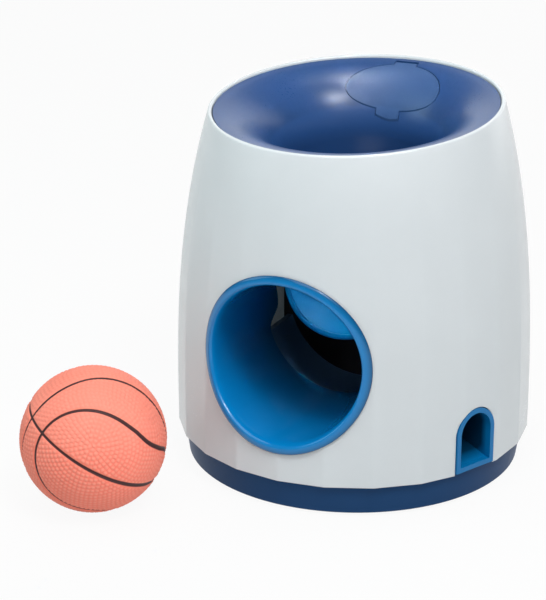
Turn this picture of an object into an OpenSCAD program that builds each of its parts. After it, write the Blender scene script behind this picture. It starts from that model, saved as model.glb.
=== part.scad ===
// Ball-operated treat dispenser for dogs, with its ball, in millimetres.
// The ball goes in at the funnel, swings the paddle back and rolls out of the tunnel;
// the paddle's sector turns the dosing drum, which drops treats down the chute to the outlet.
// The origin is the middle of the base on the table, +Z is up and the tunnel faces -Y.

/* [Barrel] */
// Radius across the ridges at the shell's lower edge
barrel_r = 85.6; // [84:0.1:92]
// Radius of the shell at its rim
rim_r = 69; // [67.5:0.1:74]
// Height of the middle of the rim above the table
rim_z = 172.5; // [168:0.5:186]
// Lean of the rim down towards the tunnel, in degrees
rim_tilt = 6.2; // [4:0.1:8]
// Height of the shell's lower edge
shell_z = 16.2; // [14:0.1:19]
// How late the barrel draws in towards the rim
barrel_draw = 2.8; // [2.2:0.1:3.4]
// Number of flats round the lower edge
flats = 24; // [24:24:48]
// Wall of the shell
wall = 2; // [1.6:0.1:2.4]

/* [Funnel] */
// Radius of the funnel's throat
throat_r = 38.5; // [37:0.1:39]
// Radius of the bell mouth's roll into the throat
mouth_r = 31; // [30:0.1:33]
// Wall of the funnel
funnel_t = 3; // [2.6:0.1:3.4]
// Depth of the throat's lower end below the rim
throat_depth = 41; // [38:0.5:44]
// Depth of the skirt inside the shell's rim
skirt_h = 8; // [6:0.1:10]

/* [Filler flap] */
// Width of the oval flap
flap_w = 48; // [42:0.5:50]
// Length of the oval flap along the funnel's slope
flap_l = 26.4; // [23:0.1:28]
// Way along the slope from the rim to the flap's middle
flap_down = 21.2; // [20:0.1:22.5]
// Thickness of the flap
flap_t = 1.5; // [1.2:0.1:1.8]
// Width of the hinge strip and of the knuckle
hinge_w = 11.3; // [8:0.1:14]
// Width of the finger tab
tab_w = 11.6; // [8:0.1:14]
// Shift of the finger tab to the right
tab_shift = -1.7; // [-3:0.1:3]

/* [Ball and tunnel] */
// Diameter of the ball
ball_d = 66.8; // [60:0.1:69]
// Height of the tunnel's axis
tunnel_z = 71.6; // [70:0.1:75]
// Radius of the tunnel's bore
tunnel_r = 36.5; // [35.5:0.1:37]
// Wall of the tunnel
tunnel_t = 2.5; // [2:0.1:2.8]
// Width of the tunnel's rounded lip
lip_w = 5; // [4.2:0.1:6.5]
// How far the lip stands out from the shell
lip_h = 1.4; // [1:0.1:3]
// Step in radius from the tunnel down to the tray behind it
tray_step = 1.5; // [0.5:0.1:2]
// Place of the tray's back edge
tray_back = 7; // [4:0.5:10]

/* [Paddle] */
// Radius of the paddle's dish
dish_r = 33.2; // [31:0.1:35]
// Depth of the dish
dish_depth = 8; // [6:0.1:9]
// Slope of the dish at rest, in degrees
dish_tilt = 58; // [55:0.5:62]
// Height of the paddle's pivot
pivot_z = 122; // [120:0.5:124]
// Distance of the pivot behind the barrel's axis
pivot_y = 30; // [29:0.5:31]
// Radius of the pivot's trunnions
trunnion_r = 3; // [2.5:0.1:3.5]

/* [Gears and drum] */
// Teeth of the drum's pinion
pinion_teeth = 12; // [11:1:13]
// Turns of the drum for one turn of the paddle
gear_ratio = 3; // [2.5:0.5:3]
// Module of the teeth
gear_module = 1.25; // [1.1:0.05:1.25]
// Thickness of the gears
gear_t = 4; // [3:0.1:4.4]
// Radius of the dosing drum
drum_r = 10; // [9:0.1:10.5]
// Length of the dosing drum
drum_l = 40; // [34:0.5:42]
// Radius of the drum's axle
axle_r = 2.5; // [2:0.1:2.8]

/* [Frame] */
// Gap between the two cheeks
cheek_gap = 90; // [89:0.5:92]
// Thickness of the cheeks
cheek_t = 3; // [2.5:0.1:3.4]
// Place of the bulkhead's front face
bulkhead_y = 45; // [43:0.5:46]
// Height of the bosses that the inner pieces stand on
deck_z = 12; // [10:0.5:12.5]

/* [Base] */
// Radius of the base at the table
base_r = 80.8; // [79.5:0.1:81.5]
// Thickness of the grip ring below the base
grip_h = 1.5; // [1:0.1:2.5]
// Thickness of the base's floor
floor_t = 2.5; // [2:0.1:3]

/* [Treat outlet] */
// Direction of the outlet, in degrees from the tunnel round to the right
outlet_turn = 65; // [60:0.5:70]
// Width of the outlet's frame
outlet_w = 23.6; // [20:0.1:25]
// Height of the outlet's frame
outlet_h = 29.9; // [26:0.1:33]
// Width of the frame's face
outlet_t = 2.5; // [1.8:0.1:3.2]

/* [Fasteners] */
// Radius of the screws' shanks
screw_r = 1.45; // [1.2:0.05:1.5]
// Radius of the screws' heads
head_r = 2.8; // [2.5:0.1:3]
// Height of the screws' heads
head_h = 2; // [1.5:0.1:2.4]
// Length of the screws that hold the shell to the base
base_screw_l = 14; // [12:0.5:16]
// Length of the screws inside the frame
frame_screw_l = 9; // [8:0.5:9.5]

/* [Fits] */
// Gap between fixed pieces that fit together
fit = 0.3; // [0.2:0.05:0.4]
// Radial clearance of turning pins and shafts
run = 0.06; // [0.03:0.01:0.1]

/* [Hidden] */
$fn = 64;
ball_r = ball_d / 2;
flat_step = 360 / flats;
ring_steps = 72;
level_steps = 12;
tube_r = tunnel_r + tunnel_t;
tray_r = tunnel_r + tray_step;
tunnel_end = 20;
cheek_x = cheek_gap / 2;
bulkhead_t = 2.5;
screw_fit = 0.1;
pilot_r = screw_r + screw_fit;
pass_r = screw_r + 2.5 * screw_fit;
floor_z = grip_h + floor_t;
flange_t = 3;
flange_z = shell_z - fit;
inner_r = barrel_r * cos(flat_step / 2) - wall;
press_fit = 0.02;
eps = 0.01;
deck_top = flange_z + flange_t;

// The barrel: a circle at the rim that turns into a polygon of flats at the lower edge
function rim_height(a) = rim_z + rim_r * tan(rim_tilt) * sin(a);
function level_z(a, t) = shell_z + t * (rim_height(a) - shell_z);
function barrel_at(t) = barrel_r - (barrel_r - rim_r) * pow(t, barrel_draw);
function flat_dip(a) = cos(flat_step / 2) / cos(a % flat_step - flat_step / 2);
function facet_at(a, t) = barrel_at(t) * (1 + (1 - t) * (flat_dip(a) - 1));
function front_level(z) = (z - shell_z) / (rim_height(-90) - shell_z);
function front_y(x, z) = -sqrt(pow(barrel_at(max(0, front_level(z))), 2) - x * x);

// A closed skin over rings of points; the rings join end to end in a loop, or the ends are capped
// with the faces given, or with one flat face
module skin(rings, looped = false, cap = []) {
    n = len(rings);
    m = len(rings[0]);
    points = [for (ring = rings) each ring];
    sides = [for (i = [0:looped ? n - 1 : n - 2], j = [0:m - 1])
        let (a = i * m, b = (i + 1) % n * m, k = (j + 1) % m)
        each [[a + j, b + j, b + k], [a + j, b + k, a + k]]];
    ends = looped ? [] : len(cap) > 0 ? cap : [[for (j = [0:m - 1]) j]];
    caps = [for (face = ends) each [face, [for (k = [len(face) - 1:-1:0]) (n - 1) * m + face[k]]]];
    polyhedron(points, concat(sides, caps), convexity = 8);
}

module along_x(x, length) {
    translate([x, 0, 0]) rotate([90, 0, 90]) linear_extrude(length) children();
}

module along_y(y, length) {
    translate([0, y + length, 0]) rotate([90, 0, 0]) linear_extrude(length) children();
}

// A flat bar with round ends from one point to another
module bar_2d(from, to, width) {
    reach = to - from;
    translate(from) circle(d = width);
    translate(to) circle(d = width);
    translate(from) rotate(atan2(reach[1], reach[0])) translate([0, -width / 2])
        square([norm(reach), width]);
}

module both_sides() {
    children();
    mirror([1, 0, 0]) children();
}

module rim_frame() {
    translate([0, 0, rim_z]) rotate([rim_tilt, 0, 0]) children();
}

// Shell
seat_level = 1 - (skirt_h + 2 * fit) / (rim_z - shell_z);
skirt_r = rim_r - wall - fit;
skirt_t = 2.4;
seat_inset = barrel_at(seat_level) - skirt_r + skirt_t;
boss_r = 4.5;
boss_turns = [60, 120, 240, 300];
boss_place = inner_r - 2 * boss_r;
boss_top = deck_top + base_screw_l + 2;
boss_rib = 2;

function shell_section() = concat(
    [for (k = [0:level_steps]) [k / level_steps, 0, 0]],
    [for (a = [45, 90, 135]) [1, wall / 2 * (1 - cos(a)), wall / 2 * sin(a)]],
    [[1, wall, 0], [seat_level, wall, 0], [seat_level, seat_inset, 0], [seat_level - 0.05, wall, 0],
     [0.75, wall, 0], [0.5, wall, 0], [0.25, wall, 0], [0, wall, 0]]);

module shell() color([0.9, 0.92, 0.93]) {
    difference() {
        skin([for (s = shell_section()) [for (j = [0:ring_steps - 1])
            let (a = j * 360 / ring_steps, r = facet_at(a, s[0]) - s[1])
            [r * cos(a), r * sin(a), level_z(a, s[0]) + s[2]]]], looped = true);
        along_y(-barrel_r - 5, barrel_r) translate([0, tunnel_z]) circle(tube_r + fit);
        outlet_turned() along_y(-barrel_r - 5, 30) for (drop = [0, 2 * outlet_lift])
            translate([0, -drop]) outlet_2d(fit);
    }
    for (turn = boss_turns) rotate(turn) translate([boss_place, 0, 0]) difference() {
        union() {
            translate([0, 0, deck_top]) cylinder(r = boss_r, h = boss_top - deck_top);
            translate([0, -boss_rib / 2, deck_top])
                cube([inner_r + wall / 2 - boss_place, boss_rib, boss_top - deck_top]);
        }
        translate([0, 0, deck_top - eps]) cylinder(r = pilot_r, h = base_screw_l);
    }
}

// Funnel and its flap; both are cut from the same bell mouth
mouth_x = throat_r + mouth_r;
flap_gap = 0.35;
ledge_w = 2.4;
tab_in = 1.4;
knuckle_r = 1.3;
pin_r = 0.6;
pin_l = hinge_w + 5;
slope_rim = asin((mouth_x - rim_r) / mouth_r);
function slope_at(way) = mouth_x - mouth_r * sin(slope_rim + way / mouth_r * 180 / PI);
flap_top = slope_at(flap_down - flap_l / 2);
flap_y = (flap_top + slope_at(flap_down + flap_l / 2)) / 2;
hinge_y = flap_top + knuckle_r + flap_gap;
hinge_h = sqrt(pow(mouth_r, 2) - pow(mouth_x - hinge_y, 2)) - mouth_r - knuckle_r - run;

module mouth_band(from, to) {
    rotate_extrude() intersection() {
        translate([mouth_x, -mouth_r]) difference() {
            circle(to, $fn = 128);
            circle(from, $fn = 128);
        }
        translate([1, -mouth_r]) square([skirt_r - 1, 2 * mouth_r]);
    }
}

// Outline of the flap, an oval on the slope, seen along the funnel's axis and grown by a margin
function flap_point(a) = let (x = flap_w / 2 * cos(a), r = slope_at(flap_down - flap_l / 2 * sin(a)))
    [x, sqrt(r * r - x * x)];

module flap_2d(grow) {
    polygon([for (a = [0:7.5:359]) let (way = flap_point(a + 1) - flap_point(a - 1))
        flap_point(a) + grow / norm(way) * [way[1], -way[0]]]);
}

module flap_full_2d(grow) {
    flap_2d(grow);
    translate([-hinge_w / 2 - grow, flap_y]) square([hinge_w + 2 * grow, hinge_y - flap_y]);
    translate([tab_shift - tab_w / 2 - grow, throat_r + tab_in - grow])
        square([tab_w + 2 * grow, flap_y - throat_r]);
}

module hinge_rod(r, length) {
    translate([-length / 2, hinge_y, hinge_h]) rotate([0, 90, 0]) cylinder(r = r, h = length);
}

module funnel_cut(depth) {
    translate([0, 0, -depth]) linear_extrude(depth + 5) children();
}

module funnel() color([0.15, 0.26, 0.5]) rim_frame() difference() {
    union() {
        mouth_band(mouth_r - funnel_t, mouth_r);
        rotate_extrude() {
            translate([throat_r, -throat_depth]) square([funnel_t, throat_depth - mouth_r]);
            translate([skirt_r - skirt_t, -skirt_h]) square([skirt_t, skirt_h - funnel_t / 2]);
        }
    }
    intersection() {
        mouth_band(mouth_r - flap_t - flap_gap, mouth_r + 1);
        funnel_cut(mouth_r) flap_full_2d(flap_gap);
    }
    funnel_cut(mouth_r) flap_2d(-ledge_w);
    hinge_rod(knuckle_r + flap_gap, hinge_w + 2 * flap_gap);
    hinge_rod(pin_r + press_fit, pin_l + fit);
    translate([-hinge_w / 2 - flap_gap, hinge_y - knuckle_r - flap_gap, hinge_h])
        cube([hinge_w + 2 * flap_gap, 2 * (knuckle_r + flap_gap), 2 * knuckle_r]);
}

module filler_flap() color([0.15, 0.26, 0.5]) rim_frame() difference() {
    union() {
        intersection() {
            mouth_band(mouth_r - flap_t, mouth_r);
            funnel_cut(mouth_r) flap_full_2d(0);
        }
        hinge_rod(knuckle_r, hinge_w);
    }
    hinge_rod(pin_r + run, hinge_w + 2);
}

module flap_pin() color("silver") rim_frame() hinge_rod(pin_r, pin_l);

// Tunnel: a tube whose lip follows the barrel and whose back is cut clear of the falling ball
saddle_r = throat_r + 0.2;
lip_run = 9;
lip_roll = 4;
lip_crest = 0.42 * lip_w;
lip_edge = 0.5;
function saddle(a) = -sqrt(pow(saddle_r, 2) - pow((tunnel_r + tunnel_t / 2) * cos(a), 2));
function ease(x) = let (u = min(1, max(0, x))) u * u * (3 - 2 * u);
function tunnel_back(a) = let (u = ease((sin(a) + 0.3) / 0.25)) u * saddle(a) - (1 - u) * tunnel_end;
function tunnel_point(r, a, y) = [r * cos(a), y, tunnel_z + r * sin(a)];
function lip_point(r, a, out) = let (p = tunnel_point(r, a, 0))
    [p[0], front_y(p[0], p[2]) - out, p[2]];
function tunnel_section(a) = concat(
    [tunnel_point(tunnel_r, a, tunnel_back(a))],
    [lip_point(tunnel_r, a, -lip_run)],
    [for (b = [180:-30:90])
        lip_point(tunnel_r + lip_crest * (1 + cos(b)), a, (lip_roll + fit + lip_h) * sin(b) - lip_roll)],
    [for (b = [60:-30:0])
        lip_point(tunnel_r + lip_crest + (lip_w - lip_crest) * cos(b), a,
            fit + lip_edge + (lip_h - lip_edge) * sin(b))],
    [lip_point(tunnel_r + lip_w, a, fit)],
    [for (out = [fit, -lip_run]) lip_point(tube_r, a, out)],
    [tunnel_point(tube_r, a, tunnel_back(a))]);

module ball_tunnel() color([0.1, 0.47, 0.75]) {
    skin([for (j = [0:ring_steps - 1]) tunnel_section(j * 360 / ring_steps)], looped = true);
}

// Tray: a trough behind the tunnel on two ribs and a foot
tray_open = 18.5;
tray_top = tunnel_z - tray_r * sin(tray_open);
tray_front = fit - tunnel_end;
rib_t = 3;
rib_w = 44;
rib_low = 8;
foot_t = 3;
tray_screw = [rib_w / 2 - 7, (tray_front + tray_back) / 2];

module tray_rib(y) {
    along_y(y, rib_t) difference() {
        translate([-rib_w / 2, deck_z]) square([rib_w, tray_top - deck_z - rib_low]);
        translate([0, tunnel_z]) circle(tray_r + tunnel_t / 2);
    }
}

module ball_tray() color([0.08, 0.16, 0.3]) difference() {
    union() {
        along_y(tray_front, tray_back - tray_front) intersection() {
            translate([0, tunnel_z]) difference() {
                circle(tray_r + tunnel_t);
                circle(tray_r);
            }
            translate([-barrel_r, 0]) square([2 * barrel_r, tray_top]);
        }
        tray_rib(tray_front);
        tray_rib(tray_back - rib_t);
        translate([-rib_w / 2, tray_front, deck_z]) cube([rib_w, tray_back - tray_front, foot_t]);
    }
    both_sides() translate([tray_screw[0], tray_screw[1], 0]) cylinder(r = pass_r, h = 2 * deck_z);
}

// Treat outlet: an arched frame round a short spout with a sloping floor
outlet_proud = 0.2;
outlet_out = inner_r + wall + outlet_proud;
outlet_in = inner_r - 17;
outlet_lift = 0.7;
outlet_z = shell_z + outlet_lift;
outlet_rise = 6.5;

module outlet_turned() {
    rotate(outlet_turn) children();
}

module outlet_2d(grow) {
    r = outlet_w / 2 + grow;
    translate([-r, outlet_z - grow]) square([2 * r, outlet_h - outlet_w / 2 + grow]);
    translate([0, outlet_z + outlet_h - outlet_w / 2]) circle(r);
}

module treat_outlet() color([0.1, 0.47, 0.75]) outlet_turned() difference() {
    along_y(-outlet_out, outlet_out - outlet_in) outlet_2d(-fit / 2);
    difference() {
        along_y(-outlet_out - 1, outlet_out + 2) outlet_2d(-outlet_t);
        along_x(-outlet_w, 2 * outlet_w) polygon([[-outlet_out, outlet_z], [-outlet_in, outlet_z],
            [-outlet_in, outlet_z + outlet_rise], [-outlet_out + outlet_t, outlet_z + outlet_t]]);
    }
}

// Gears: involute teeth with the flanks drawn in for backlash
pinion_r = gear_module * pinion_teeth / 2;
sector_teeth = pinion_teeth * gear_ratio;
sector_r = pinion_r * gear_ratio;
mesh_dir = -45;
drum_y = pivot_y + (pinion_r + sector_r) * cos(mesh_dir);
drum_z = pivot_z + (pinion_r + sector_r) * sin(mesh_dir);
gear_x = cheek_x + cheek_t + 2 * fit;
paddle_swing = 45;
pressure = 20;
backlash = 0.1;
function roll(a) = tan(a) * 180 / PI - a;
function flank(r, teeth) = let (base = gear_module * teeth / 2 * cos(pressure))
    90 / teeth * (1 - backlash) + roll(pressure) - roll(r > base ? acos(base / r) : 0);
function tooth(teeth, mid) = let (r = gear_module * teeth / 2,
    radii = [for (k = [0:4]) r + gear_module * (-1.2 + k * 0.5)])
    concat([for (q = radii) [q, mid - flank(q, teeth)]],
        [for (k = [4:-1:0]) [radii[k], mid + flank(radii[k], teeth)]]);
function gear_points(teeth, first, last, start) = [for (k = [first:last])
    each [for (p = tooth(teeth, start + k * 360 / teeth)) p[0] * [cos(p[1]), sin(p[1])]]];
hub_r = trunnion_r + 4;
sector_hole = 4;
sector_first = -ceil(paddle_swing * sector_teeth / 360) - 1;

module paddle_centre() {
    translate([pivot_y, pivot_z]) children();
}

module drum_centre() {
    translate([drum_y, drum_z]) children();
}

module sector_gear() color([0.92, 0.92, 0.9]) along_x(gear_x, gear_t) paddle_centre() difference() {
    union() {
        circle(hub_r);
        polygon(concat([[0, 0]], gear_points(sector_teeth, sector_first, 1, mesh_dir)));
    }
    circle(trunnion_r + press_fit);
    rotate(mesh_dir - paddle_swing / 2) translate([(sector_r + hub_r) / 2, 0]) circle(sector_hole);
}

module drum_pinion() color([0.92, 0.92, 0.9]) along_x(gear_x, gear_t) drum_centre() difference() {
    polygon(gear_points(pinion_teeth, 0, pinion_teeth - 1, mesh_dir + 180 + 180 / pinion_teeth));
    circle(axle_r + press_fit);
}

// Paddle: a dish on two arms with a trunnion on each
rim_bead = 1.3;
arm_sink = 0.2;
lug_l = 2.6;
arm_in = dish_r + lug_l;
arm_t = 3.2;
arm_w = 9;
dish_lead = 1.2;
dish_drop = 7.7;
dish_front = [-tunnel_end - dish_lead, tunnel_z - dish_drop];
dish_mid = dish_front + dish_r * [cos(dish_tilt), sin(dish_tilt)];
dish_ball = (pow(dish_r, 2) + pow(dish_depth, 2)) / (2 * dish_depth);
dish_t = 2;
trunnion_end = gear_x + gear_t - fit;
shoulder_r = trunnion_r + 2.2;
sector_screw_r = 1;
sector_screw_l = 8;
sector_head_h = 1.6;

module dish() {
    rotate_extrude() intersection() {
        translate([0, dish_ball - dish_depth]) difference() {
            circle(dish_ball + dish_t, $fn = 128);
            circle(dish_ball, $fn = 128);
        }
        translate([0, -dish_depth - 2 * dish_t]) square([dish_r, dish_depth + 2 * dish_t]);
    }
    rotate_extrude() translate([dish_r, 0]) circle(rim_bead);
}

module paddle() color([0.1, 0.47, 0.75]) difference() {
    union() {
        translate([0, dish_mid[0], dish_mid[1]]) rotate([dish_tilt, 0, 0]) dish();
        both_sides() {
            along_x(dish_r - arm_sink, arm_sink + lug_l + eps) translate(dish_mid) circle(d = arm_w);
            along_x(arm_in, arm_t) bar_2d(dish_mid, [pivot_y, pivot_z], arm_w);
            along_x(arm_in, cheek_x + cheek_t - arm_in - 2 * fit) paddle_centre() circle(trunnion_r);
        }
        along_x(arm_in, trunnion_end - arm_in) paddle_centre() circle(trunnion_r);
        along_x(arm_in, cheek_x - fit - arm_in) paddle_centre() circle(shoulder_r);
    }
    along_x(trunnion_end - sector_screw_l - 1, 2 * sector_screw_l) paddle_centre()
        circle(sector_screw_r + screw_fit / 2);
}

module sector_screw() color("silver") paddle_centre_x() {
    along_x(gear_x + gear_t, sector_head_h) circle(trunnion_r + 1.8);
    along_x(trunnion_end - sector_screw_l, sector_screw_l + sector_head_h) circle(sector_screw_r);
}

module paddle_centre_x() {
    translate([0, pivot_y, pivot_z]) children();
}

// Return spring: wire wound round the left trunnion, one leg on the arm and one on the cheek
wire_r = 0.45;
spring_r = trunnion_r + 1.6;
spring_turns = 3;
spring_gap = 0.35;
spring_x = arm_in + arm_t + wire_r + spring_gap;
spring_pitch = (cheek_x - spring_x - wire_r - spring_gap) / spring_turns;
spring_leg = 13;
spring_steps = 28;
function coil_point(u) = [-spring_x - spring_pitch * u, spring_r * cos(360 * u), spring_r * sin(360 * u)];
function coil_way(u) = let (d = coil_point(u + 0.01) - coil_point(u - 0.01)) d / norm(d);
spring_path = concat([coil_point(0) - spring_leg * [0, coil_way(0)[1], coil_way(0)[2]]],
    [for (k = [0:spring_steps]) coil_point(spring_turns * k / spring_steps)],
    [coil_point(spring_turns) + spring_leg * [0, coil_way(spring_turns)[1], coil_way(spring_turns)[2]]]);
function path_way(path, k) = let (d = path[min(len(path) - 1, k + 1)] - path[max(0, k - 1)]) d / norm(d);
function wire_ring(path, k) = let (w = path_way(path, k), c = cross(w, [1, 0, 0]), u = c / norm(c),
    v = cross(w, u)) [for (a = [0:60:359]) path[k] + wire_r * (cos(a) * u + sin(a) * v)];

module return_spring() color("silver") paddle_centre_x() {
    skin([for (k = [0:len(spring_path) - 1]) wire_ring(spring_path, k)]);
}

// Drum with one dosing pocket, its axle, bushes and clips
bush_r = axle_r + 1.5;
bush_flange = 1;
clip_t = 0.8;
clip_gap = 0.4;
clip_right = gear_x + gear_t + clip_gap;
clip_left = -cheek_x - cheek_t - clip_gap - clip_t;
axle_left = clip_t - clip_left;
axle_right = clip_right + 2 * clip_t;
groove_r = axle_r - 0.5;
groove_play = 0.05;
clip_mouth = 0.8 * groove_r;
pocket_r = 0.62 * drum_r;
drum_end = 2;

module dosing_drum() color([0.85, 0.85, 0.82]) difference() {
    drum_ring(-drum_l / 2, drum_l, drum_r, axle_r + press_fit);
    along_x(drum_end - drum_l / 2, drum_l - 2 * drum_end) drum_centre() translate([0, drum_r]) circle(pocket_r);
}

module drum_ring(x, length, outer, inner) {
    along_x(x, length) drum_centre() difference() {
        circle(outer);
        circle(inner);
    }
}

module drum_axle() color("silver") difference() {
    along_x(-axle_left, axle_left + axle_right) drum_centre() circle(axle_r);
    for (x = [clip_left, clip_right])
        drum_ring(x - groove_play, clip_t + 2 * groove_play, axle_r + 1, groove_r);
}

module drum_bushes() color([0.75, 0.72, 0.6]) both_sides() {
    drum_ring(cheek_x - bush_flange, bush_flange, bush_r + 1.5, axle_r + run);
    drum_ring(cheek_x - eps, cheek_t + eps, bush_r, axle_r + run);
}

module axle_clips() color("dimgray") for (x = [clip_left, clip_right]) difference() {
    drum_ring(x, clip_t, axle_r + 1.9, groove_r + press_fit);
    translate([x - clip_t, drum_y - clip_mouth, drum_z - 2 * bush_r])
        cube([3 * clip_t, 2 * clip_mouth, 2 * bush_r]);
}

// Chute: a trough from under the drum, round the tray and down to the outlet
chute_w = outlet_w - 2 * outlet_t - 2;
chute_h = 11;
chute_t = 1.8;
chute_y = bulkhead_y + bulkhead_t + fit + chute_t + chute_w / 2;
chute_r = inner_r - chute_w / 2 - chute_t - 10.5;
chute_top = drum_z - drum_r - 18;
chute_foot = outlet_z + outlet_rise + fit;
chute_fall = chute_top - chute_foot;
// Stations down the trough: radius, direction in degrees from +X, share of the fall, heading
function chute_at(r, dir, share, heading) =
    [r * cos(dir), r * sin(dir), chute_top - share * chute_fall, heading];
chute_route = [[-24, chute_y, chute_top, 0], [16, chute_y, chute_top - 0.16 * chute_fall, 0],
    chute_at(chute_r + 2, 54, 0.28, -35), chute_at(chute_r + 5, 32, 0.45, -68),
    chute_at(chute_r, 13, 0.64, -86), chute_at(chute_r - 4, -5, 0.81, -82),
    chute_at(outlet_in - 9, outlet_turn - 90, 0.95, -45),
    chute_at(outlet_in - fit, outlet_turn - 90, 1, outlet_turn - 90)];
function chute_width(k) = k == len(chute_route) - 1 ? outlet_w - 2 * outlet_t : chute_w;
function chute_ring(k) = let (p = chute_route[k], a = p[3], w = chute_width(k) / 2)
    [for (q = [[-w - chute_t, chute_h], [-w, chute_h], [-w, 0], [w, 0], [w, chute_h], [w + chute_t, chute_h],
        [w + chute_t, -chute_t], [-w - chute_t, -chute_t]])
        [p[0] - q[0] * sin(a), p[1] + q[0] * cos(a), p[2] + q[1]]];

module treat_chute() color([0.08, 0.09, 0.1]) {
    skin([for (k = [0:len(chute_route) - 1]) chute_ring(k)], cap = [[0, 1, 2, 7], [2, 3, 6, 7], [3, 4, 5, 6]]);
}

// Hopper: a bin under the filler flap whose neck wraps the drum
drum_gap = 0.6;
hopper_in = drum_l / 2 + drum_gap;
hopper_t = 2.2;
hopper_x = hopper_in + hopper_t;
hopper_front = throat_r + funnel_t + 4.2;
hopper_back = flap_top - 0.5;
hopper_low = pivot_z - 4;
neck_r = drum_r + drum_gap;
boss_small = 4;
hopper_bosses = [[hopper_front + 3.3, hopper_low + 14], [hopper_back - 5.2, hopper_low - 4]];
axle_pass = axle_r + 0.4;
mouth_turn = -70;

module hopper_2d(inset) {
    polygon([[hopper_front + inset, rim_z], [hopper_back - inset, rim_z], [hopper_back - inset, hopper_low],
        [drum_y + neck_r + hopper_t - 3 * inset, drum_z], [drum_y - neck_r + 2 * inset, drum_z],
        [hopper_front + inset, hopper_low]]);
}

module hopper() color([0.16, 0.17, 0.18]) difference() {
    union() {
        along_x(-hopper_x, 2 * hopper_x) {
            hopper_2d(0);
            drum_centre() circle(neck_r + hopper_t);
        }
        both_sides() for (p = hopper_bosses) along_x(hopper_x - eps, cheek_x - hopper_x + eps)
            translate(p) circle(boss_small);
    }
    along_x(-hopper_in, 2 * hopper_in) {
        hopper_2d(hopper_t);
        drum_centre() circle(neck_r);
        drum_centre() rotate(mouth_turn) square([3 * drum_r, 0.9 * drum_r]);
    }
    along_x(-cheek_x, 2 * cheek_x) drum_centre() circle(axle_pass);
    both_sides() for (p = hopper_bosses) along_x(cheek_x - frame_screw_l, 2 * frame_screw_l)
        translate(p) circle(pilot_r);
    rim_frame() hopper_clear();
}

// The room that the funnel and the shell need above and behind the hopper
module hopper_clear() {
    rotate_extrude() difference() {
        translate([0, -throat_depth - 5]) square([2 * barrel_r, 2 * throat_depth]);
        intersection() {
            union() {
                translate([mouth_x, -mouth_r]) circle(mouth_r - funnel_t - fit, $fn = 128);
                translate([throat_r + funnel_t + fit, -throat_depth - 6])
                    square([barrel_r, throat_depth - mouth_r + 6]);
            }
            translate([0, -throat_depth - 6]) square([skirt_r - skirt_t - 1, 2 * throat_depth]);
        }
    }
}

// Cheeks: two side plates on feet that carry the pivot, the drum and the hopper
frame_room = 6;
cheek_front = pivot_y - 8;
cheek_low = bulkhead_y + 2;
cheek_back = sqrt(pow(inner_r - frame_room, 2) - pow(cheek_x + cheek_t, 2));
cheek_top = pivot_z + 16;
cheek_notch = deck_z + 12;
foot_w = 8;
foot_sink = 0.5;
foot_l = cheek_low - cheek_front - 1;
foot_screws = [for (y = [cheek_front + 6, cheek_low - 5]) [cheek_x + cheek_t - foot_sink + 3.5, y]];
gusset_h = 14;
gusset_t = 2;
gusset_y = cheek_front + foot_l / 2;
bulkhead_right = 15;
bulkhead_h = 68;
bulkhead_foot = 11;
bulkhead_screw = [bulkhead_right - 6, bulkhead_y + bulkhead_foot - 4.5];
window_y = pivot_y - 1;
window_z = chute_at(1, 0, 0.63, 0)[2];
window_h = 36;

module cheek_2d() {
    difference() {
        polygon([[cheek_front, deck_z], [cheek_low, deck_z], [cheek_low, cheek_notch],
            [cheek_back, cheek_notch + 20], [cheek_back, drum_z + 3], [cheek_back - 4, pivot_z + 4],
            [cheek_back - 11, cheek_top], [pivot_y - 6, cheek_top], [cheek_front, pivot_z - 10]]);
        paddle_centre() circle(trunnion_r + run);
        drum_centre() circle(bush_r + press_fit);
        for (p = hopper_bosses) translate(p) circle(pass_r);
        children();
    }
}

module cheek_foot() {
    difference() {
        union() {
            translate([cheek_x + cheek_t - foot_sink, cheek_front + 1, deck_z]) cube([foot_w, foot_l, foot_t]);
            along_y(gusset_y, gusset_t) translate([cheek_x + cheek_t - foot_sink, deck_z])
                polygon([[0, 0], [foot_w, 0], [foot_w, foot_t], [foot_sink, gusset_h], [0, gusset_h]]);
        }
        for (p = foot_screws) translate([p[0], p[1], 0]) cylinder(r = pass_r, h = 2 * deck_z);
    }
}

module left_cheek() color([0.12, 0.12, 0.13]) mirror([1, 0, 0]) {
    along_x(cheek_x, cheek_t) cheek_2d();
    cheek_foot();
}

module right_cheek() color([0.12, 0.12, 0.13]) {
    along_x(cheek_x, cheek_t) cheek_2d() translate([window_y, window_z]) square([barrel_r, window_h]);
    cheek_foot();
}

module bulkhead() color([0.12, 0.12, 0.13]) difference() {
    union() {
        translate([-cheek_x, bulkhead_y, deck_z])
            cube([cheek_x + bulkhead_right, bulkhead_t, bulkhead_h]);
        translate([-bulkhead_right, bulkhead_y, deck_z]) cube([2 * bulkhead_right, bulkhead_foot, foot_t]);
    }
    both_sides() translate([bulkhead_screw[0], bulkhead_screw[1], 0]) cylinder(r = pass_r, h = 2 * deck_z);
}

// Base: a cup with a flange inside the shell, screw posts and bosses for the inner pieces
base_wall = 2.4;
flange_in = base_r - 10.5;
flange_r = inner_r - 0.5;
base_round = 0.5;
base_flare = 2;
post_r = 5;
grip_w = 12;
grip_out = boss_place - post_r;
grip_in = grip_out - grip_w;
grip_sink = 1;
head_play = 0.4;
bore_depth = deck_top - grip_h - 3.4;
inner_bosses = concat([for (s = [-1, 1], p = foot_screws) [s * p[0], p[1]]],
    [for (s = [-1, 1], p = [tray_screw, bulkhead_screw]) [s * p[0], p[1]]]);

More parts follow.
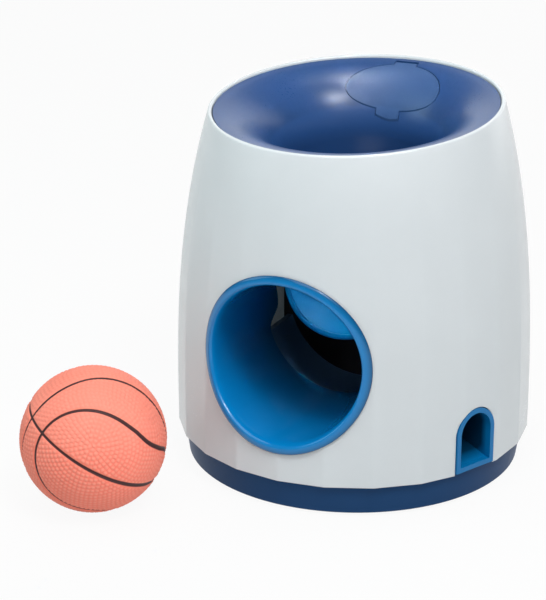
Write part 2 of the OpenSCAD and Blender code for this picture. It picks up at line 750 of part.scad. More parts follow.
module base() color([0.13, 0.2, 0.36]) difference() {
    union() {
        rotate_extrude() difference() {
            polygon([[0, grip_h], [base_r - base_round, grip_h], [base_r, grip_h + base_round],
                [base_r + base_flare, flange_z], [flange_r, flange_z], [flange_r, deck_top], [0, deck_top]]);
            translate([-1, floor_z]) square([base_r - base_wall + 1, flange_z - floor_z]);
            translate([-1, flange_z - 1]) square([flange_in + 1, 2 * flange_t]);
        }
        for (turn = boss_turns) rotate(turn) translate([boss_place, 0, grip_h])
            cylinder(r = post_r, h = deck_top - grip_h);
        for (p = inner_bosses) translate([p[0], p[1], grip_h]) cylinder(r = boss_small, h = deck_z - grip_h);
    }
    for (turn = boss_turns) rotate(turn) translate([boss_place, 0, 0]) {
        cylinder(r = head_r + head_play, h = grip_h + bore_depth);
        cylinder(r = pass_r, h = 2 * deck_top);
    }
    for (p = inner_bosses) translate([p[0], p[1], floor_z]) cylinder(r = pilot_r, h = deck_z);
    rotate_extrude() translate([grip_in - fit, 0]) square([grip_out - grip_in + 2 * fit, grip_h + grip_sink]);
    outlet_turned() along_y(-barrel_r, barrel_r - outlet_in + 3) outlet_2d(fit);
}

module grip_ring() color([0.1, 0.1, 0.11]) rotate_extrude() {
    translate([grip_in, 0]) square([grip_out - grip_in, grip_h + grip_sink]);
}

// Screws point along +Z from the underside of their heads
module screw(length) {
    translate([0, 0, -head_h]) cylinder(r = head_r, h = head_h);
    cylinder(r = screw_r, h = length);
}

module base_screws() color("silver") for (turn = boss_turns) rotate(turn)
    translate([boss_place, 0, grip_h + bore_depth]) screw(base_screw_l);

module frame_screws() color("silver") {
    for (p = inner_bosses) translate([p[0], p[1], deck_z + foot_t]) rotate([180, 0, 0]) screw(frame_screw_l);
    both_sides() for (p = hopper_bosses) translate([cheek_x + cheek_t, p[0], p[1]])
        rotate([0, -90, 0]) screw(frame_screw_l);
}

// Ball, standing in front of the dispenser, with two round seams and a curved one on each side
ball_place = [-79.05, -114.05];
ball_turn = [-13.6, -29.5, -126.4];
seam_r = 0.8;
seam_steps = 60;
function seam_angle(a) = 57 + 2.3 * cos(a) + 14.2 * cos(2 * a) - 3.1 * cos(3 * a);
function seam_point(a) = let (b = seam_angle(a)) ball_r * [sin(b) * cos(a), cos(b), sin(b) * sin(a)];
function seam_ring(a) = let (p = seam_point(a), way = seam_point(a + 1) - seam_point(a - 1),
    out = p / norm(p), side = cross(way, p), across = side / norm(side))
    [for (b = [0:60:359]) p + seam_r * (cos(b) * out + sin(b) * across)];

module ball() color([0.95, 0.5, 0.42]) translate([ball_place[0], ball_place[1], ball_r]) rotate(ball_turn)
    difference() {
        sphere(ball_r);
        for (turn = [0, 90]) rotate([turn, 0, 0]) rotate_extrude() translate([ball_r, 0]) circle(seam_r, $fn = 24);
        for (flip = [0, 1]) mirror([0, flip, 0])
            skin([for (k = [0:seam_steps - 1]) seam_ring(k * 360 / seam_steps)], looped = true);
    }

shell();
funnel();
filler_flap();
flap_pin();
ball_tunnel();
ball_tray();
treat_outlet();
treat_chute();
hopper();
left_cheek();
right_cheek();
bulkhead();
paddle();
sector_gear();
sector_screw();
return_spring();
dosing_drum();
drum_axle();
drum_pinion();
drum_bushes();
axle_clips();
base();
grip_ring();
base_screws();
frame_screws();
ball();
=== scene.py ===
# %% [markdown]
# # A treat puzzle for dogs, dressed for its portrait
# A white barrel holds a navy funnel. A ball dropped into it swings a blue dish back and rolls out of the
# tunnel in front, and the dish turns a dosing drum that empties down a chute to the small spout. The packed
# solids already have every piece in its place, so this file gives them finishes, and models again the
# pieces whose skin the eye rests on: the barrel, the tunnel with its lip, and the pebbled ball.

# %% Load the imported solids
import math
import bpy
import bmesh
from mathutils import Matrix, Vector


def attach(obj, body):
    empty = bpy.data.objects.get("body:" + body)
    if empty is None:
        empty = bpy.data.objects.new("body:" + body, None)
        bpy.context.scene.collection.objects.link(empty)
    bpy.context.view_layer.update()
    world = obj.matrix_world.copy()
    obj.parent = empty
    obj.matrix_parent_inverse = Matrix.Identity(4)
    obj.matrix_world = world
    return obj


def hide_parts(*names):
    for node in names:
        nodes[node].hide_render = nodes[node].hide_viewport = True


MM = 0.001
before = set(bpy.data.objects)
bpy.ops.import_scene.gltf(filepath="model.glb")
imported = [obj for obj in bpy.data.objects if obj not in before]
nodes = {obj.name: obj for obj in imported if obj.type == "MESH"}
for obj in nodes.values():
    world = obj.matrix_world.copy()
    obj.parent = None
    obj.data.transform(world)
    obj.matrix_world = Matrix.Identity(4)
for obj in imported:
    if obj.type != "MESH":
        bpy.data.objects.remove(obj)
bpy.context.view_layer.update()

# %% [markdown]
# ## The camera
# The photograph looks down at the toy from about twenty degrees, a little from its right. A camera can be
# aimed by eye or by a constraint, but its axes were worked out from the rim's oval and the polygon of the
# lower edge, so they are simply written into its matrix.

# %% Camera
CAMERA_AT, CAMERA_LENS, CAMERA_SENSOR = (0.3242, -0.7492, 0.3768), 108, 36
LOOK_ALONG, UPRIGHT = Vector((-0.4132, 0.8420, -0.3467)), Vector((-0.1474, 0.3139, 0.9379))
look = LOOK_ALONG.normalized()
right = look.cross(UPRIGHT).normalized()
up = right.cross(look)
camera = bpy.data.objects.new("camera", bpy.data.cameras.new("camera"))
bpy.context.scene.collection.objects.link(camera)
camera.matrix_world = Matrix((right, up, -look)).transposed().to_4x4()
camera.matrix_world.translation = CAMERA_AT
camera.data.lens = CAMERA_LENS
camera.data.sensor_width = CAMERA_SENSOR
bpy.context.scene.camera = camera
print("camera looks along", [round(v, 3) for v in look])

# %% [markdown]
# ## Finishes as expressions
# A finish is a small program of nodes. Wiring it by hand takes many lines, so one class wraps an output
# socket: plus, minus and times on it add Math nodes, and `add` makes any other node, with its settings
# first and its sockets after them.

# %% A socket that does sums
class Wire:
    """An output socket of a node tree, on which sums can be written."""

    def __init__(self, tree, out=None):
        self.tree, self.out = tree, out

    def add(self, kind, settings=None, inputs=None, output=0):
        """A new node: its settings are set first, and its sockets are then filled or linked."""
        node = self.tree.nodes.new(kind)
        for name, value in (settings or {}).items():
            setattr(node, name, value)
        for key, value in (inputs or {}).items():
            if isinstance(value, Wire):
                self.tree.links.new(value.out, node.inputs[key])
            else:
                node.inputs[key].default_value = value
        return Wire(self.tree, node.outputs[output])

    def math(self, operation, a, b=0.0):
        return self.add("ShaderNodeMath", {"operation": operation}, {0: a, 1: b})

    def __add__(self, other):
        return self.math("ADD", self, other)

    def __sub__(self, other):
        return self.math("SUBTRACT", self, other)

    def __rsub__(self, other):
        return self.math("SUBTRACT", other, self)

    def __mul__(self, other):
        return self.math("MULTIPLY", self, other)

    def __truediv__(self, other):
        return self.math("DIVIDE", self, other)

    __radd__ = __add__
    __rmul__ = __mul__

    def limit(self):
        return self.add("ShaderNodeClamp", None, {0: self})

    def noise(self, coords, scale, detail=2.0):
        return self.add("ShaderNodeTexNoise", None, {"Vector": coords, "Scale": scale, "Detail": detail})

    def kept(self, name):
        """A number that the mesh keeps at each of its points."""
        return self.add("ShaderNodeAttribute", {"attribute_name": name}, None, 2)

    def blend(self, factor, a, b):
        return self.add("ShaderNodeMix", {"data_type": "RGBA"}, {0: factor, 6: a, 7: b}, 2)


# %% A finish and its sockets
def new_finish(name, constants):
    """A material with one Principled shader, its unchanging values set on its own sockets."""
    material = bpy.data.materials.new(name)
    material.use_nodes = True
    tree = material.node_tree
    tree.nodes.clear()
    shader = tree.nodes.new("ShaderNodeBsdfPrincipled")
    for key, value in constants.items():
        shader.inputs[key].default_value = value
    output = tree.nodes.new("ShaderNodeOutputMaterial")
    tree.links.new(shader.outputs[0], output.inputs["Surface"])
    wire = Wire(tree)
    coords = wire.add("ShaderNodeTexCoord", None, None, 3)
    return material, shader, wire, coords


def connect(wire, shader, **sockets):
    """Feeds the shader's sockets, named with an underscore for each space."""
    for name, value in sockets.items():
        wire.tree.links.new(value.out, shader.inputs[name.replace("_", " ")])


def tint(color, factor):
    return tuple(min(1.0, c * factor) for c in color[:3]) + (1.0,)


# %% [markdown]
# ## Moulded plastic
# Every hard piece is injection moulded. A real moulding isn't one flat colour: it has a faint cloudiness
# from the flow, a fine spark-eroded grain from the mould, and its gloss changes with both. One function
# makes them all, and each plastic differs in colour, gloss and grain. Light goes a little way into the
# white one, which softens the edges between its flats.

# %% One function for all plastics
PLASTIC_IOR, FLOW_SCALE, FLOW_GLOSS = 1.49, 22, 0.08
GRAIN_GLOSS, GRAIN_DEPTH, GLOW_DEPTH, SHADE_TINT = 0.10, 0.2 * MM, 4 * MM, 0.2


def moulded(name, color, roughness, grain=0.05, grain_size=0.9 * MM, cloud=0.03,
            shine=0.5, through=0.0, shade=None):
    """A plastic's finish; shade, if given, makes the wire that says where shade is painted into its colour.
    """
    material, shader, wire, coords = new_finish(name, {
        "IOR": PLASTIC_IOR, "Specular IOR Level": shine, "Subsurface Weight": through,
        "Subsurface Radius": (1, 1, 1), "Subsurface Scale": GLOW_DEPTH})
    flow = wire.noise(coords, FLOW_SCALE, 3)
    fine = wire.noise(coords, 1 / grain_size, 2)
    base = wire.blend(flow, tint(color, 1 - cloud), tint(color, 1 + cloud))
    if shade:
        # painted shade: the colour is blended towards a dark tint of itself
        base = wire.blend(shade(wire, coords), base, tint(color, SHADE_TINT))
    rough = roughness + (flow - 0.5) * FLOW_GLOSS + (fine - 0.5) * GRAIN_GLOSS
    bump = wire.add("ShaderNodeBump", None, {"Strength": grain, "Distance": GRAIN_DEPTH, "Height": fine})
    connect(wire, shader, Base_Color=base, Roughness=rough.limit(), Normal=bump)
    return material


# %% [markdown]
# The tunnel and the spout are deep, and shade is painted into their blue further in, darker than the lamps
# alone make it. A picture could be painted for that, but a number is enough: the tunnel's mesh will keep one
# at each point, and the spout's is worked out from the place. In the spout the painted shade comes sooner on
# the walls than on the sill, which catches light from above.

# %% Painted shade in the blue
OUTLET_TURN, OUTLET_MOUTH, OUTLET_SILL = math.radians(65), 82.5 * MM, 20.5 * MM
OUTLET_OUT = (math.sin(OUTLET_TURN), -math.cos(OUTLET_TURN), 0)
SILL_FADE, WALL_RISE, WALL_HASTE = 9 * MM, 4 * MM, 1.6


# painted shade for the tunnel: the number its mesh keeps at each point
def tunnel_shade(wire, coords):
    return wire.kept("shade")


# painted shade for the spout: darker further in from the mouth, and sooner on the walls than on the sill
def outlet_shade(wire, coords):
    along = wire.add("ShaderNodeVectorMath", {"operation": "DOT_PRODUCT"}, {0: coords, 1: OUTLET_OUT}, 1)
    height = wire.add("ShaderNodeSeparateXYZ", None, {0: coords}, 2)
    wall = ((height - OUTLET_SILL) / WALL_RISE).limit()
    return ((OUTLET_MOUTH - along) * (1 + wall * WALL_HASTE) / SILL_FADE).limit()


# %% Plastics
white_plastic = moulded("white_plastic", (0.675, 0.710, 0.730), 0.24, 0.04, through=0.40)
navy_plastic = moulded("navy_plastic", (0.019, 0.067, 0.208), 0.30)
base_plastic = moulded("base_navy_plastic", (0.013, 0.056, 0.155), 0.42, 0.06, shine=0.1)
BLUE = (0.001, 0.195, 0.500)
paddle_plastic = moulded("paddle_blue_plastic", tint(BLUE, 1.08), 0.40, 0.02, shine=0.06)
tunnel_plastic = moulded("tunnel_blue_plastic", BLUE, 0.16, 0.02, shade=tunnel_shade)
outlet_plastic = moulded("outlet_blue_plastic", tint(BLUE, 0.82), 0.30, 0.02, shine=0.3, shade=outlet_shade)
flap_plastic = moulded("flap_navy_plastic", (0.034, 0.092, 0.240), 0.42)
black_plastic = moulded("black_plastic", (0.012, 0.012, 0.014), 0.45, 0.08)
tray_plastic = moulded("tray_plastic", (0.020, 0.060, 0.120), 0.38)
gear_plastic = moulded("acetal", (0.78, 0.77, 0.72), 0.36, 0.03)
grip_rubber = moulded("grip_rubber", (0.020, 0.020, 0.022), 0.80, 0.25, grain_size=1.2 * MM, cloud=0.10)
print("plastics:", [m.name for m in bpy.data.materials])

# %% [markdown]
# ## Zinc-plated steel
# The pins, screws, clips and the spring are bright zinc. Plating looks mottled more than brushed, so two
# sizes of noise change its gloss.

# %% Steel
SPANGLE_SCALE, SCUFF_SCALE = 260, 2400
ZINC_ROUGH, SPANGLE_ROUGH, SCUFF_ROUGH = 0.24, 0.14, 0.08
DULL_ZINC, BRIGHT_ZINC = (0.52, 0.53, 0.55, 1), (0.66, 0.67, 0.70, 1)
steel, shader, wire, coords = new_finish("zinc_steel", {"Metallic": 1.0})
spangle = wire.noise(coords, SPANGLE_SCALE, 2)
scuff = wire.noise(coords, SCUFF_SCALE, 1)
connect(wire, shader, Base_Color=wire.blend(spangle, DULL_ZINC, BRIGHT_ZINC),
        Roughness=(ZINC_ROUGH + spangle * SPANGLE_ROUGH + scuff * SCUFF_ROUGH).limit())
print("finish:", steel.name)

# %% [markdown]
# ## Dressing the solids
# Each solid is of one material, so it takes one finish. They could be given out one by one in the material
# tab, but a table by name is shorter and easier to change. A solid that isn't in the table is of steel, and
# the ball gets its rubber further down.

# %% Finishes on the solids
finish_of = {
    "funnel": navy_plastic, "filler_flap": flap_plastic, "ball_tray": tray_plastic, "paddle": paddle_plastic,
    "treat_chute": black_plastic, "hopper": black_plastic, "left_cheek": black_plastic,
    "right_cheek": black_plastic, "bulkhead": black_plastic, "sector_gear": gear_plastic,
    "dosing_drum": gear_plastic, "drum_pinion": gear_plastic, "drum_bushes": gear_plastic,
    "base": base_plastic, "grip_ring": grip_rubber, "shell": white_plastic, "ball_tunnel": tunnel_plastic,
    "treat_outlet": outlet_plastic}
for name, node in nodes.items():
    node.data.materials.clear()
    node.data.materials.append(finish_of.get(name, steel))
print("dressed:", len(nodes), "solids")

# %% [markdown]
# ## Working by hand, in code
# An operator acts on whatever is selected, so each piece begins with nothing selected. These helpers open
# and close edit mode, select edges by their place, and apply modifiers at the end.

# %% Selecting and editing
def start(name, operator, **settings):
    """A new primitive as the only selected object, under its own name."""
    bpy.ops.object.select_all(action="DESELECT")
    operator(**settings)
    piece = bpy.context.object
    piece.name = name
    piece.data.name = name
    return piece


def select_only(piece):
    bpy.ops.object.select_all(action="DESELECT")
    piece.select_set(True)
    bpy.context.view_layer.objects.active = piece


def edit(piece):
    bpy.context.view_layer.objects.active = piece
    bpy.ops.object.mode_set(mode="EDIT")


def leave():
    bpy.ops.object.mode_set(mode="OBJECT")


def pick_edges(piece, test):
    """Selects the edges whose middle passes the test, and nothing else."""
    bpy.ops.mesh.select_all(action="DESELECT")
    bpy.ops.mesh.select_mode(type="EDGE")
    mesh = bmesh.from_edit_mesh(piece.data)
    for edge in mesh.edges:
        edge.select_set(test((edge.verts[0].co + edge.verts[1].co) / 2))
    mesh.select_flush_mode()
    bmesh.update_edit_mesh(piece.data)


# %% Finishing a piece
def face_outwards():
    """Turns every face of the piece in edit mode outwards."""
    bpy.ops.mesh.select_all(action="SELECT")
    bpy.ops.mesh.normals_make_consistent(inside=False)


def shade_smooth(piece):
    for face in piece.data.polygons:
        face.use_smooth = True


def settle(piece):
    """Puts the piece's place into its mesh."""
    select_only(piece)
    bpy.ops.object.transform_apply(location=True, rotation=True, scale=True)


def modify(piece, kind, **settings):
    """Adds a modifier and applies it."""
    select_only(piece)
    modifier = piece.modifiers.new(kind.lower(), kind)
    for name, value in settings.items():
        setattr(modifier, name, value)
    bpy.ops.object.modifier_apply(modifier=modifier.name)


def keep_numbers(piece, name, numbers):
    """Keeps a number at each point of the mesh, for the finish to read."""
    piece.data.attributes.new(name, "FLOAT", "POINT")
    piece.data.attributes[name].data.foreach_set("value", numbers)


def dress(piece, finish, slot, body, *stands_for):
    """Gives a new piece its finish and its body, and hides the solids that it stands for; the slot is not
    used.
    """
    piece.data.materials.clear()
    piece.data.materials.append(finish)
    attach(piece, body)
    if stands_for:
        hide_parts(*stands_for)
    print(piece.name, "has", len(piece.data.polygons), "faces")


# %% [markdown]
# ## The barrel
# The shell starts as a polygon of twenty-four flats at its lower edge and turns, on the way up, into a
# round slanted rim. It could be lofted between two outlines, but by hand it is easier to extrude one ring
# after another: each ring is scaled to the barrel's radius, and To Sphere rounds it a little more. The first
# step is a very short one, so that the smooth shading keeps the lower edge crisp.

# %% Sizes of the barrel
BARREL_R, RIM_R, RIM_Z, SHELL_Z = 85.6 * MM, 69 * MM, 172.5 * MM, 16.2 * MM
RIM_SLOPE = math.tan(math.radians(6.2))
DRAW, FLATS, CUTS, LEVELS, WALL, CRISP = 2.8, 24, 15, 30, 2 * MM, 0.3 * MM


def barrel_at(t):
    """Radius of the ridges, at a share of the way up."""
    return BARREL_R - (BARREL_R - RIM_R) * max(0.0, t) ** DRAW


def height_at(t):
    return SHELL_Z + t * (RIM_Z - SHELL_Z)


def ring_size(piece):
    """Radius and height of the selected ring."""
    chosen = [v.co for v in bmesh.from_edit_mesh(piece.data).verts if v.select]
    return max(math.hypot(co.x, co.y) for co in chosen), chosen[0].z


def widen_ring(piece, radius):
    """Scales the selected ring about the upright axis."""
    old_radius, height = ring_size(piece)
    scale = radius / old_radius
    bpy.ops.transform.resize(value=(scale, scale, 1), center_override=(0, 0, height))


def next_ring(piece, radius, height):
    """Extrudes the selected ring to a new radius and height."""
    rise = height - ring_size(piece)[1]
    bpy.ops.mesh.extrude_edges_move(TRANSFORM_OT_translate={"value": (0, 0, rise)})
    widen_ring(piece, radius)


# %% Rings of the barrel
shell = start("barrel_shell", bpy.ops.mesh.primitive_circle_add, vertices=FLATS, radius=BARREL_R,
              location=(0, 0, SHELL_Z))
settle(shell)
edit(shell)
bpy.ops.mesh.select_all(action="SELECT")
bpy.ops.mesh.subdivide(number_cuts=CUTS)
bpy.ops.mesh.select_mode(type="EDGE")
next_ring(shell, BARREL_R, SHELL_Z + CRISP)
for k in range(1, LEVELS + 1):
    t = k / LEVELS
    next_ring(shell, barrel_at(t), height_at(t))
    bpy.ops.transform.tosphere(value=1 - (1 - t) / (1 - t + 1 / LEVELS))
    widen_ring(shell, barrel_at(t))
print("outer skin:", len(bmesh.from_edit_mesh(shell.data).faces), "faces")

# %% [markdown]
# The rim is a half-round bead, so six short steps carry the ring over it. Then it goes down inside, one
# wall thickness in from the skin, and a bridge joins the last ring to the first. The rim's slant comes last:
# every point is lifted or lowered by its place from front to back, the more the higher it is.

# %% Rim, inner wall and lower edge
BEAD_STEPS, INNER_STRIDE, HAIR = 6, 3, 0.01 * MM
for step in range(1, BEAD_STEPS + 1):
    turn = math.pi * step / BEAD_STEPS
    next_ring(shell, RIM_R - WALL / 2 * (1 - math.cos(turn)), RIM_Z + WALL / 2 * math.sin(turn))
for k in range(LEVELS - INNER_STRIDE, -1, -INNER_STRIDE):
    t = k / LEVELS
    ridge_to_flat = math.cos(math.pi / FLATS) ** (1 - t)
    next_ring(shell, barrel_at(t) * ridge_to_flat - WALL, height_at(t))
pick_edges(shell, lambda spot: spot.z < SHELL_Z + HAIR)
bpy.ops.mesh.bridge_edge_loops()
face_outwards()
leave()
for v in shell.data.vertices:
    share = (v.co.z - SHELL_Z) / (RIM_Z - SHELL_Z)
    v.co.z += share * RIM_R * RIM_SLOPE * v.co.y / math.hypot(v.co.x, v.co.y)
print("closed barrel:", len(shell.data.vertices), "points")

# %% [markdown]
# Two openings are cut: a round one for the tunnel and an arched one for the spout. A Boolean is the quick
# way, but it leaves long thin faces whose shading ripples, so a Data Transfer modifier copies the normals
# of the uncut barrel back on.

# %% Openings in the barrel
TUNNEL_Z, BORE_R, TUBE_R, FIT = 71.6 * MM, 36.5 * MM, 39 * MM, 0.3 * MM
OUTLET_W, OUTLET_H, OUTLET_Z = 23.6 * MM, 29.9 * MM, 16.9 * MM
CUT_AT, TUNNEL_CUT, OUTLET_CUT, LEG_CUT = 85 * MM, 90 * MM, 30 * MM, 40 * MM
TUBE_SIDES, ARCH_SIDES = 160, 96
shade_smooth(shell)
uncut = shell.copy()
uncut.data = shell.data.copy()
bpy.context.scene.collection.objects.link(uncut)
arch_z = OUTLET_Z + OUTLET_H - OUTLET_W / 2
cut_out = Vector(OUTLET_OUT) * CUT_AT
cutters = [
    start("cut_tunnel", bpy.ops.mesh.primitive_cylinder_add, vertices=TUBE_SIDES, radius=TUBE_R + FIT,
          depth=TUNNEL_CUT, location=(0, -CUT_AT, TUNNEL_Z), rotation=(math.pi / 2, 0, 0)),
    start("cut_arch", bpy.ops.mesh.primitive_cylinder_add, vertices=ARCH_SIDES, radius=OUTLET_W / 2 + FIT,
          depth=OUTLET_CUT, location=cut_out + Vector((0, 0, arch_z)),
          rotation=(math.pi / 2, 0, OUTLET_TURN)),
    start("cut_legs", bpy.ops.mesh.primitive_cube_add, size=1,
          scale=(OUTLET_W + 2 * FIT, OUTLET_CUT, LEG_CUT),
          location=cut_out + Vector((0, 0, arch_z - LEG_CUT / 2)), rotation=(0, 0, OUTLET_TURN))]
for cutter in cutters:
    modify(shell, "BOOLEAN", object=cutter, operation="DIFFERENCE", solver="EXACT")
    bpy.data.objects.remove(cutter)
modify(shell, "DATA_TRANSFER", object=uncut, use_loop_data=True, data_types_loops={"CUSTOM_NORMAL"},
       loop_mapping="POLYINTERP_NEAREST")
bpy.data.objects.remove(uncut)
dress(shell, white_plastic, "white_shell", "root", "shell")

# %% [markdown]
# ## The tunnel
# The ball leaves through a blue tube whose rounded lip lies on the barrel all round. Its inner end is a
# saddle on the funnel's throat, and only its floor goes on further in. One ring is extruded along the
# profile: up the bore, over the bead, and back along the outside. The bead has to follow the barrel's
# curve, which no single operator does, so the points are then slid along the tunnel's axis.

# %% Ends of the tunnel
SADDLE_R, FLOOR_END, FLOOR_TOP, SADDLE_LOW = 38.7 * MM, 20 * MM, -0.3, -0.05


def clamp(value, low=0.0, high=1.0):
    return min(high, max(low, value))


def smooth(low, high, value):
    """Goes gently from 0 at low to 1 at high."""
    u = clamp((value - low) / (high - low))
    return u * u * (3 - 2 * u)


def front_y(x, z):
    """The barrel's skin at the front."""
    level = (z - SHELL_Z) / (RIM_Z - RIM_R * RIM_SLOPE - SHELL_Z)
    return -math.sqrt(barrel_at(level) ** 2 - x * x)


def tunnel_back(x, z):
    """The tube's inner end: the saddle, or the floor's end where the turn round the tube is low."""
    radius = math.hypot(x, z - TUNNEL_Z)
    across, turn = x / radius, (z - TUNNEL_Z) / radius
    saddle = -math.sqrt(SADDLE_R ** 2 - ((BORE_R + TUBE_R) / 2 * across) ** 2)
    on_saddle = smooth(FLOOR_TOP, SADDLE_LOW, turn)
    return on_saddle * saddle - (1 - on_saddle) * FLOOR_END


print("tunnel from", round(front_y(0, TUNNEL_Z) / MM, 1), "mm to", -FLOOR_END / MM, "mm at its floor")

# %% [markdown]
# Each step of the profile is a radius, a share of the way back to the inner end, and how far it stands proud
# of the barrel.

# %% Profile of the tunnel
LIP_W, LIP_H, CREST, ROLL, EDGE = 5 * MM, 1.4 * MM, 2.1 * MM, 4 * MM, 0.5 * MM
BORE_RINGS, ROUND_STEPS, NECK = 6, 8, 0.2
profile = [(BORE_R, 1 - k / BORE_RINGS, 0) for k in range(BORE_RINGS)]
for step in range(ROUND_STEPS + 1):
    turn = math.pi / 2 * step / ROUND_STEPS
    proud = (ROLL + FIT + LIP_H) * math.sin(turn) - ROLL
    profile.append((BORE_R + CREST * (1 - math.cos(turn)), 0, proud))
for step in range(1, ROUND_STEPS + 1):
    turn = math.pi / 2 * step / ROUND_STEPS
    proud = FIT + EDGE + (LIP_H - EDGE) * math.cos(turn)
    profile.append((BORE_R + CREST + (LIP_W - CREST) * math.sin(turn), 0, proud))
profile += [(BORE_R + LIP_W, 0, FIT), (TUBE_R, 0, FIT), (TUBE_R, NECK, 0), (TUBE_R, 1, 0)]
print("profile:", len(profile), "steps")

# %% [markdown]
# The rings are first stacked one millimetre apart, so that a point's height tells which step it belongs to.
# The shade that the finish reads grows towards the deep end, and on the lip towards its outer edge.

# %% Rings of the tunnel
RING_GAP, CREASE = 1 * MM, math.radians(50)
DEEP_SHADE, DEEP_CURVE, EDGE_SHADE, EDGE_CURVE = 0.9, 1.5, 0.75, 2
tunnel = start("tunnel_tube", bpy.ops.mesh.primitive_circle_add, vertices=TUBE_SIDES, radius=BORE_R)
edit(tunnel)
bpy.ops.mesh.select_all(action="SELECT")
bpy.ops.mesh.select_mode(type="EDGE")
for k in range(1, len(profile)):
    next_ring(tunnel, profile[k][0], k * RING_GAP)
pick_edges(tunnel, lambda spot: not 0.5 < spot.z / RING_GAP < len(profile) - 1.5)
bpy.ops.mesh.bridge_edge_loops()
leave()
shades = []
for v in tunnel.data.vertices:
    radius, back, proud = profile[round(v.co.z / RING_GAP)]
    x, z = v.co.x, TUNNEL_Z + v.co.y
    lip = front_y(x, z) - proud
    v.co = (x, lip + back * (tunnel_back(x, z) - lip), z)
    # painted shade: darker towards the deep end, and on the lip towards its outer edge, where it meets the
    # barrel
    outer = max(0.0, (radius - BORE_R - CREST) / (LIP_W - CREST))
    shades.append(max(DEEP_SHADE * back ** DEEP_CURVE, EDGE_SHADE * outer ** EDGE_CURVE))
keep_numbers(tunnel, "shade", shades)
edit(tunnel)
face_outwards()
leave()
shade_smooth(tunnel)
modify(tunnel, "EDGE_SPLIT", split_angle=CREASE)
dress(tunnel, tunnel_plastic, "light_blue", "root", "ball_tunnel")

# %% [markdown]
# ## The ball
# A coral rubber ball with pebbled skin and four dark seams: two circles at right angles and a curved loop
# on each side. The seams could be modelled as cut channels, but a fine sphere that is displaced twice keeps
# an even mesh: up where a pebble is, and in where a seam runs, by weights worked out at each point. The
# distance to the nearest seam is kept at the points too, and the finish paints the seam with it.

# %% Seams of the ball
BALL_R, BALL_AT = 33.6 * MM, Vector((-79.05, -114.05, 33.6)) * MM
seam_x, seam_y = Vector((-0.5159, -0.7007, 0.4928)), Vector((0.7143, -0.6695, -0.2041))
seam_z = seam_x.cross(seam_y)
LOOP_MEAN, LOOP_WAVES, FAR_SHIFT = 57, (2.3, 14.2, -3.1), 5
UPPER_BEND, LOWER_BEND = (-5.8, (90, 134, 136, 158)), (2, (25, 75, 85, 110))
BELT_BEND, BELT_SHIFT = (20, (50, 150, 155, 180)), -0.5
TURN_STEP, LEAST_SINE = 0.01, 0.2


def strayed(bend, a):
    """Degrees that a seam strays by: most between the inner two of four turns, none past the others."""
    most, (rise, top, fall, end) = bend
    turn = math.degrees(a)
    return most * smooth(rise, top, turn) * (1 - smooth(fall, end, turn))


def seam_loop(a, near, upper):
    """Angle of a curved seam from its side's axis, at the turn a round that axis."""
    angle = LOOP_MEAN + sum(wave * math.cos(n * a) for n, wave in enumerate(LOOP_WAVES, 1))
    if near:
        return math.radians(angle + strayed(UPPER_BEND if upper else LOWER_BEND, a))
    return math.radians(angle - FAR_SHIFT)


def belt(a, upper):
    """Angle of the seam between the two sides from a true circle."""
    return math.radians(strayed(BELT_BEND, a) * upper + BELT_SHIFT)


def seam_distance(way):
    """From a place on the ball to the nearest seam, along the skin."""
    x, y, z = way.dot(seam_x), way.dot(seam_y), way.dot(seam_z)
    a, near, upper = math.atan2(abs(z), x), y > 0, z > 0
    polar = math.acos(clamp(abs(y)))
    before, after = (seam_loop(a + step, near, upper) for step in (-TURN_STEP, TURN_STEP))
    slope = (after - before) / (2 * TURN_STEP)
    loop = abs(polar - (before + after) / 2) / math.hypot(1, slope / max(LEAST_SINE, math.sin(polar)))
    middle = abs(math.asin(clamp(y, -1.0)) - belt(a, upper))
    return BALL_R * min(middle, math.asin(clamp(abs(z))), loop)


print("loops lie", [round(math.degrees(seam_loop(a, False, True))) for a in (0, math.pi / 2, math.pi)],
      "degrees from the far side's axis")

# %% [markdown]
# The pebbles lie in rows round a pole, each second row shifted by half a pebble, as bricks are.

# %% Pebbles of the ball
PEBBLE, ROWS, SEGMENTS, PEBBLE_CURVE = 0.45 * MM, 51, 476, 0.8
pebble_pole = Vector((0.484, -0.809, 0.300)).normalized()
side_a = pebble_pole.orthogonal().normalized()
side_b = pebble_pole.cross(side_a)


def pebble_height(way):
    """From 0 in the furrows to 1 on a pebble's top."""
    polar = math.acos(clamp(way.dot(pebble_pole), -1.0)) / math.pi * ROWS
    row = min(ROWS - 1, int(polar))
    count = max(1, round(2 * ROWS * math.sin((row + 0.5) / ROWS * math.pi)))
    turn = (math.atan2(way.dot(side_b), way.dot(side_a)) / math.tau + 1) * count + 0.5 * (row % 2)
    return (math.sin(math.pi * (polar - row)) * math.sin(math.pi * (turn % 1))) ** PEBBLE_CURVE


ball = start("pebbled_ball", bpy.ops.mesh.primitive_uv_sphere_add, segments=SEGMENTS, ring_count=4 * ROWS,
             radius=BALL_R - PEBBLE, location=BALL_AT,
             rotation=pebble_pole.to_track_quat("Z", "Y").to_euler())
settle(ball)
print("sphere:", len(ball.data.vertices), "points")
